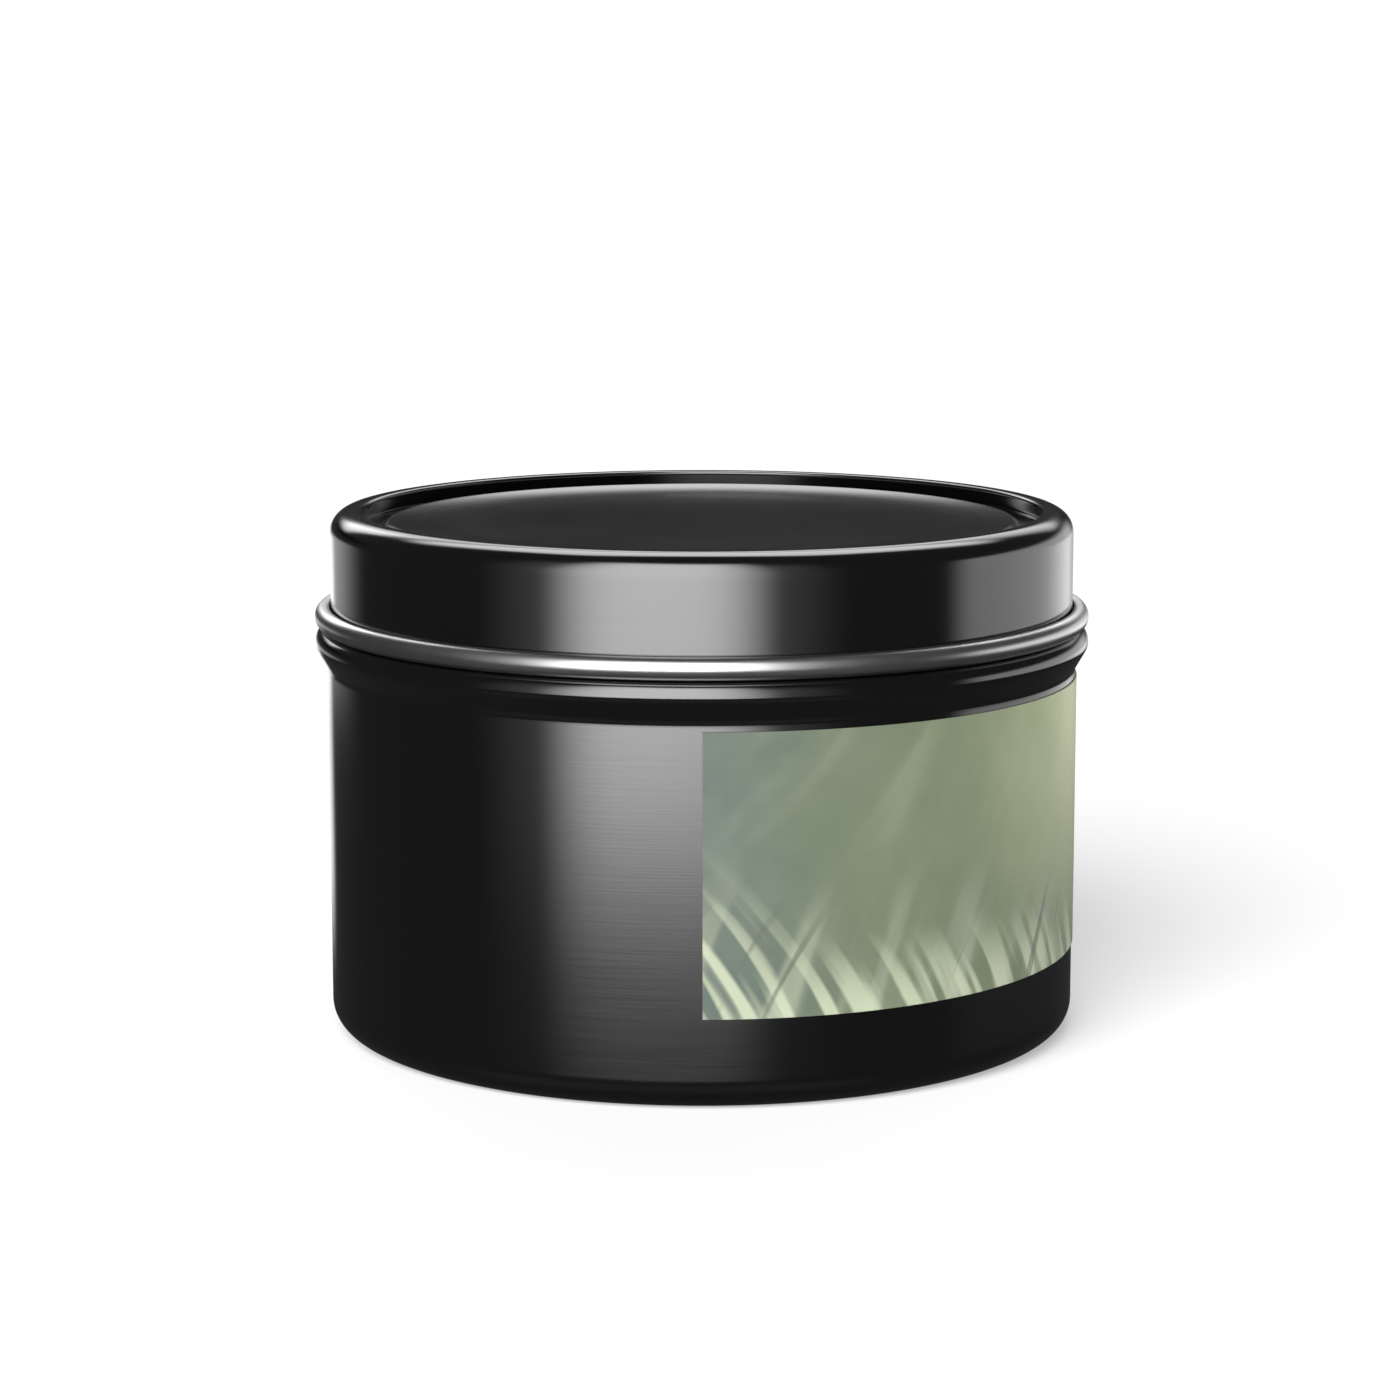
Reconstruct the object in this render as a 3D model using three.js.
// A filled candle tin: a seamless drawn can with poured wax and one cotton wick, and a slip lid.
// Millimetres, +Z up. The origin is the centre of the base, on the surface the tin stands on.
// The front label's middle faces -Y.
//
// The can and the lid are each one sheet of tinplate. Each is drawn as the line of its coated
// face, from the axis to the cut edge, and that line is given the sheet's thickness.
import * as THREE from "three";

// Overall sizes
const TIN_DIAMETER = 79; // can wall, outside
const TIN_HEIGHT = 55; // standing ring to the lid's rim, lid on
const SHEET = 0.3; // tinplate thickness of can and lid

// Can
const BASE_CORNER = 3; // outside radius between wall and base
const STAND_RING_WIDTH = 3.2; // flat ring that the can stands on
const BASE_STEP_RUN = 0.8; // radial run of the step from ring to base panel
const BASE_RECESS = 0.6; // height of the base panel above the ring
const BEAD_PROUD = 1.3; // both rings stand out this far from the wall
const BEAD_ROUND = 1.2; // radius of the can's bead
const BEAD_TOP = 1.5; // height of the bead's rounded upper half
const BEAD_TAPER = 30; // degrees from vertical of the bead's lower slope
const BEAD_FOOT = 0.3; // height of the soft bend where that slope meets the wall
const NECK_FILLET = 0.3; // inside corner between ledge and neck
const LIP_ROUND = 0.65; // outside radius of the lip, rolled inwards
const LIP_TURN = 240; // degrees that the lip is rolled through

// Lid
const LID_HEIGHT = 12.15; // rim to the foot of the hem
const LID_INSET = 0.4; // skirt's outer face inside the can wall's
const RIM_ROUND = 2.2; // outside radius from skirt to rim
const RIM_WIDTH = 3.5; // skirt's outer face to the sunk panel's wall
const RIM_EDGE = 0.45; // radius of the rim's inner edge
const GROOVE_DEPTH = 1.65; // rim to the floor of the groove round the panel
const GROOVE_WIDTH = 2.6; // groove, from the sunk wall to the panel's edge
const PANEL_EDGE_RISE = 0.32; // groove floor to the panel's edge
const SHOULDER_WIDTH = 8; // soft slope from the panel's edge to its flat middle
const SHOULDER_RISE = 0.4; // height gained over that slope
const HEM_HEIGHT = 2.3; // rolled hem, top to foot
const HEM_TURN = 296; // degrees that the hem is rolled through

// Wax and wick
const FILL_BELOW_LIP = 10.2; // top of the wax below the can's lip
const WICK_DIAMETER = 2.5;
const WICK_SHOWN = 5.5; // wick above the wax
const WICK_BEVEL = 0.4; // worn edge at the wick's cut end
const TAB_DIAMETER = 20;
const TAB_SHEET = 0.3; // steel of the wick tab
const TAB_NECK_HEIGHT = 5; // crimped neck above the tab's plate
const STICKER_DIAMETER = 19;
const STICKER_THICKNESS = 0.8;

// Labels
const LABEL_WIDTH = 124.4; // along the wall
const LABEL_FOOT = 9.4; // label's lower edge above the ground
const LABEL_BELOW_BEAD = 0.63; // label's upper edge below the bend where the bead starts
const PAPER = 0.12; // thickness of both labels
const BASE_LABEL_DIAMETER = 50;

// Clearances
const SLIP_FIT = 0.3; // lid's skirt to the can's neck
const LIP_GAP = 1.5; // can's lip to the inside of the lid's rim
const TOUCH = 0.05; // between pieces that rest on each other
const WICK_FIT = 0.1; // round the wick, in the tab and in the wax

// Facets. Every large ring has the same count, so nested rings keep an even gap.
const SEGMENTS = 48;
const SMALL_SEGMENTS = 24;

// Sizes that follow from these
const wallRadius = TIN_DIAMETER / 2;
const beadRadius = wallRadius + BEAD_PROUD;
const ledge = TIN_HEIGHT - LID_HEIGHT - TOUCH; // where the lid's hem rests
const skirtRadius = wallRadius - LID_INSET;
const neckRadius = skirtRadius - SHEET - SLIP_FIT;
const lipTop = TIN_HEIGHT - SHEET - LIP_GAP;
const waxTop = lipTop - FILL_BELOW_LIP;
const facetSag = wallRadius * (1 - Math.cos(Math.PI / SEGMENTS));

// The bead: a straight slope out of the wall, then a rounded crown up to the ledge.
const beadMiddle = beadRadius - BEAD_ROUND;
const beadHeight = ledge - BEAD_TOP;
const taper = THREE.MathUtils.degToRad(BEAD_TAPER);
const slopeTop = beadHeight - BEAD_ROUND * Math.sin(taper);
const slopeRun = beadMiddle + BEAD_ROUND * Math.cos(taper) - wallRadius;
const slopeFoot = slopeTop - slopeRun / Math.tan(taper);
const wallTop = slopeFoot - BEAD_FOOT;
const labelHeight = wallTop - LABEL_BELOW_BEAD - LABEL_FOOT;

// Points along an elliptic arc in the (radius, height) plane, ends included. Angles in degrees.
function arc(r, z, acrossRadius, uprightRadius, from, to, steps) {
  const points = [];
  for (let i = 0; i <= steps; i++) {
    const angle = THREE.MathUtils.degToRad(from + ((to - from) * i) / steps);
    points.push([r + acrossRadius * Math.cos(angle), z + uprightRadius * Math.sin(angle)]);
  }
  return points;
}

// The line moved sideways by a distance, to the left of its direction of travel.
function offset(line, distance) {
  const unit = (a, b) => {
    const length = Math.hypot(b[0] - a[0], b[1] - a[1]);
    return [(b[0] - a[0]) / length, (b[1] - a[1]) / length];
  };
  return line.map((point, i) => {
    const before = unit(line[Math.max(i - 1, 0)], line[Math.max(i, 1)]);
    const after = unit(line[Math.min(i, line.length - 2)], line[Math.min(i + 1, line.length - 1)]);
    const share = distance / (1 + before[0] * after[0] + before[1] * after[1]);
    return [point[0] - (before[1] + after[1]) * share, point[1] + (before[0] + after[0]) * share];
  });
}

// The stretch of a line that starts low and rises, up to a height.
function upTo(line, height) {
  const next = line.findIndex((point) => point[1] > height);
  const [low, high] = [line[next - 1], line[next]];
  const share = (height - low[1]) / (high[1] - low[1]);
  return [...line.slice(0, next), [low[0] + (high[0] - low[0]) * share, height]];
}

// A solid of revolution about Z. The outline runs anticlockwise, seen with the axis on its left,
// and either starts and ends on the axis or is closed here.
function turned(name, outline, segments, material) {
  const closed = outline[0][0] > 0 ? [...outline, outline[0]] : outline;
  const points = closed.map(([r, z]) => new THREE.Vector2(r, z));
  const geometry = new THREE.LatheGeometry(points, segments);
  geometry.rotateX(Math.PI / 2);
  return named(name, geometry, material);
}

function named(name, geometry, material) {
  const mesh = new THREE.Mesh(geometry, material);
  mesh.name = name;
  return mesh;
}

// The outline of a disc lying flat.
function disc(radius, foot, thickness) {
  return [
    [0, foot],
    [radius, foot],
    [radius, foot + thickness],
    [0, foot + thickness],
  ];
}

function finish(color, roughness, metalness) {
  return new THREE.MeshStandardMaterial({ color, roughness, metalness });
}

// The can's coated face: base panel, standing ring, corner, wall, bead, ledge, neck and lip.
function canFace() {
  const ringOuter = wallRadius - BASE_CORNER;
  const ringInner = ringOuter - STAND_RING_WIDTH;
  const lipMiddle = neckRadius - LIP_ROUND;
  const lipHeight = lipTop - LIP_ROUND;
  const filletMiddle = [neckRadius + NECK_FILLET, ledge + NECK_FILLET];
  return [
    [0, BASE_RECESS],
    [ringInner - BASE_STEP_RUN, BASE_RECESS],
    [ringInner, 0],
    ...arc(ringOuter, BASE_CORNER, BASE_CORNER, BASE_CORNER, -90, 0, 4),
    [wallRadius, wallTop],
    [wallRadius + BEAD_FOOT * Math.tan(taper), slopeFoot + BEAD_FOOT],
    ...arc(beadMiddle, beadHeight, BEAD_ROUND, BEAD_ROUND, -BEAD_TAPER, 0, 2),
    ...arc(beadMiddle, beadHeight, BEAD_ROUND, BEAD_TOP, 0, 90, 4).slice(1),
    ...arc(...filletMiddle, NECK_FILLET, NECK_FILLET, 270, 180, 2),
    ...arc(lipMiddle, lipHeight, LIP_ROUND, LIP_ROUND, 0, LIP_TURN, 7),
  ];
}

function can(material) {
  const face = canFace();
  return turned("can", [...face, ...offset(face, SHEET).reverse()], SEGMENTS, material);
}

// The lid's coated face: panel, shoulder, groove, sunk wall, rim, skirt and the inside of the hem.
function lidFace() {
  const wallOfPanel = skirtRadius - RIM_WIDTH;
  const panelEdge = wallOfPanel - GROOVE_WIDTH;
  const grooveFloor = TIN_HEIGHT - GROOVE_DEPTH;
  const edgeHeight = grooveFloor + PANEL_EDGE_RISE;
  const shoulder = [];
  for (const share of [0, 0.4, 0.7, 1]) {
    const radius = panelEdge - SHOULDER_WIDTH * (1 - share);
    shoulder.push([radius, edgeHeight + SHOULDER_RISE * (1 - share * share)]);
  }
  const hemOuter = beadRadius - SHEET;
  const hemMiddle = (skirtRadius + hemOuter) / 2;
  const hemAcross = (hemOuter - skirtRadius) / 2;
  const hemUpright = HEM_HEIGHT / 2 - SHEET;
  const hemCentre = TIN_HEIGHT - LID_HEIGHT + HEM_HEIGHT / 2;
  const edgeMiddle = [wallOfPanel + RIM_EDGE, TIN_HEIGHT - RIM_EDGE];
  const rimMiddle = [skirtRadius - RIM_ROUND, TIN_HEIGHT - RIM_ROUND];
  return [
    [0, edgeHeight + SHOULDER_RISE],
    ...shoulder,
    [panelEdge + PANEL_EDGE_RISE, edgeHeight - PANEL_EDGE_RISE / 3],
    [panelEdge + 2 * PANEL_EDGE_RISE, grooveFloor],
    [wallOfPanel, grooveFloor],
    ...arc(...edgeMiddle, RIM_EDGE, RIM_EDGE, 180, 90, 2),
    ...arc(...rimMiddle, RIM_ROUND, RIM_ROUND, 90, 0, 5),
    ...arc(hemMiddle, hemCentre, hemAcross, hemUpright, 180, 180 + HEM_TURN, 10),
  ];
}

// The lid's sheet lies under its coated face, to the right of the line.
function lid(material) {
  const face = lidFace();
  return turned("lid", [...offset(face, -SHEET), ...face.reverse()], SEGMENTS, material);
}

// Heights of the parts stacked on the base panel, under the wax.
const panelTop = BASE_RECESS + SHEET;
const stickerFoot = panelTop + TOUCH;
const tabFoot = stickerFoot + STICKER_THICKNESS + TOUCH;
const tabPlateTop = tabFoot + TAB_SHEET;
const tabNeckTop = tabPlateTop + TAB_NECK_HEIGHT;
const tabBore = WICK_DIAMETER / 2 + WICK_FIT;
const tabNeckRadius = tabBore + TAB_SHEET;

function wickSticker(material) {
  const outline = disc(STICKER_DIAMETER / 2, stickerFoot, STICKER_THICKNESS);
  return turned("wick_sticker", outline, SMALL_SEGMENTS, material);
}

function wickTab(material) {
  const outline = [
    [tabBore, tabFoot],
    [TAB_DIAMETER / 2, tabFoot],
    [TAB_DIAMETER / 2, tabPlateTop],
    [tabNeckRadius, tabPlateTop],
    [tabNeckRadius, tabNeckTop],
    [tabBore, tabNeckTop],
  ];
  return turned("wick_tab", outline, SMALL_SEGMENTS, material);
}

function wick(material) {
  const radius = WICK_DIAMETER / 2;
  const tip = waxTop + WICK_SHOWN;
  const outline = [
    [0, tabFoot],
    [radius, tabFoot],
    [radius, tip - WICK_BEVEL],
    [radius - WICK_BEVEL, tip],
    [0, tip],
  ];
  return turned("wick", outline, SMALL_SEGMENTS, material);
}

// The wax fills the can's inside up to its fill height, round the wick, its tab and the sticker.
function wax(material) {
  const wall = upTo(offset(canFace(), SHEET + TOUCH), waxTop);
  const boreRadius = WICK_DIAMETER / 2 + WICK_FIT;
  const outline = [
    ...wall.slice(1),
    [boreRadius, waxTop],
    [boreRadius, tabNeckTop + WICK_FIT],
    [tabNeckRadius + WICK_FIT, tabNeckTop + WICK_FIT],
    [tabNeckRadius + WICK_FIT, tabPlateTop + WICK_FIT],
    [TAB_DIAMETER / 2 + WICK_FIT, tabPlateTop + WICK_FIT],
    [TAB_DIAMETER / 2 + WICK_FIT, panelTop + TOUCH],
  ];
  return turned("wax", outline, SEGMENTS, material);
}

// A curved sheet of paper round the front of the wall, clear of the wall's flat facets.
function frontLabel(material) {
  const inner = wallRadius + TOUCH + facetSag;
  const half = LABEL_WIDTH / inner / 2;
  const front = -Math.PI / 2;
  const shape = new THREE.Shape();
  shape.absarc(0, 0, inner + PAPER, front - half, front + half, false);
  shape.absarc(0, 0, inner, front + half, front - half, true);
  const curveSegments = Math.ceil((SEGMENTS * half) / Math.PI / 2);
  const geometry = new THREE.ExtrudeGeometry(shape, {
    depth: labelHeight,
    bevelEnabled: false,
    curveSegments,
  });
  const mesh = named("front_label", geometry, material);
  mesh.position.z = LABEL_FOOT;
  return mesh;
}

function baseLabel(material) {
  const outline = disc(BASE_LABEL_DIAMETER / 2, BASE_RECESS - TOUCH - PAPER, PAPER);
  return turned("base_label", outline, SEGMENTS, material);
}

const blackCoat = finish(0x121212, 0.32, 0.5);
const printedPaper = finish(0x8c9c88, 0.55, 0);
const whitePaper = finish(0xf3f1ea, 0.7, 0);
const softWax = finish(0xf1e9d2, 0.5, 0);
const cotton = finish(0xe9e3d3, 0.9, 0);
const steel = finish(0xb9bbbd, 0.35, 1);
const foam = finish(0xf4f4f2, 0.85, 0);

const candleTin = new THREE.Group();
candleTin.add(
  can(blackCoat),
  lid(blackCoat),
  frontLabel(printedPaper),
  baseLabel(whitePaper),
  wax(softWax),
  wick(cotton),
  wickTab(steel),
  wickSticker(foam),
);

export default candleTin;
